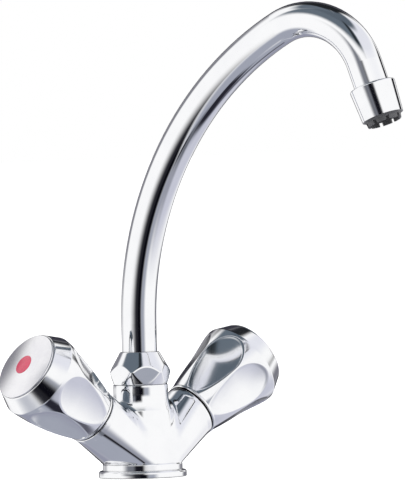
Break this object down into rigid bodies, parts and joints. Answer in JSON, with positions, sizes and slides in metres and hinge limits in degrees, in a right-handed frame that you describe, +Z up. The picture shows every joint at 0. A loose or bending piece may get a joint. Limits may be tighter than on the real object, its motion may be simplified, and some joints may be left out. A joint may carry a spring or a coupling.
{
  "type": "two handle kitchen faucet",
  "caption": "Chromed kitchen mixer for one deck hole: a Y-shaped body with fluted crown handles on slanting arms and a swinging swan-neck spout.",
  "frame": {"origin": "centre of the foot's underside, on the deck", "axes": "+Z up along the body's neck and the spout's swivel axis; -X towards the hot handle, +X towards the cold handle; -Y towards the user"},
  "size_m": [0.167, 0.1749, 0.24],
  "materials": {
    "chrome": "polished",
    "brass": "turned",
    "black rubber": "matt",
    "white plastic": "matt",
    "dark plastic": "satin",
    "ceramic": "lapped",
    "spring steel": "bright",
    "steel mesh": "woven",
    "red plastic": "gloss",
    "blue plastic": "gloss"
  },
  "bodies": {
    "body": {"faucet_body": "chrome", "base_gasket": "black rubber", "union_nut": "chrome", "hot_seat_seal": "black rubber", "hot_bonnet_gasket": "black rubber", "hot_bonnet": "brass", "hot_fixed_disc": "ceramic", "cold_seat_seal": "black rubber", "cold_bonnet_gasket": "black rubber", "cold_bonnet": "brass", "cold_fixed_disc": "ceramic"},
    "spout": {"spout_tube": "chrome", "spout_collar": "brass", "spout_seals": "black rubber", "lower_slide_ring": "white plastic", "upper_slide_ring": "white plastic", "aerator_nipple": "brass", "aerator_gasket": "black rubber", "aerator_sleeve": "chrome", "aerator_insert": "dark plastic", "aerator_screens": "steel mesh"},
    "hot_control": {"hot_handle": "chrome", "hot_cap": "chrome", "hot_index_dot": "red plastic", "hot_handle_screw": "spring steel", "hot_spline_adaptor": "white plastic", "hot_spindle": "brass", "hot_spindle_seals": "black rubber", "hot_retaining_clip": "spring steel", "hot_turning_disc": "ceramic"},
    "cold_control": {"cold_handle": "chrome", "cold_cap": "chrome", "cold_index_dot": "blue plastic", "cold_handle_screw": "spring steel", "cold_spline_adaptor": "white plastic", "cold_spindle": "brass", "cold_spindle_seals": "black rubber", "cold_retaining_clip": "spring steel", "cold_turning_disc": "ceramic"}
  },
  "joints": [
    {"name": "spout_swivel", "type": "hinge", "parent": "body", "child": "spout", "pos_m": [0, 0, 0.05], "axis": [0, 0, 1], "continuous": true},
    {"name": "hot_handle_turn", "type": "hinge", "parent": "body", "child": "hot_control", "pos_m": [0, 0, 0.011], "axis": [-0.8339, 0, 0.5519], "range_deg": [0, 90]},
    {"name": "cold_handle_turn", "type": "hinge", "parent": "body", "child": "cold_control", "pos_m": [0, 0, 0.011], "axis": [0.8339, 0, 0.5519], "range_deg": [0, 90]}
  ]
}
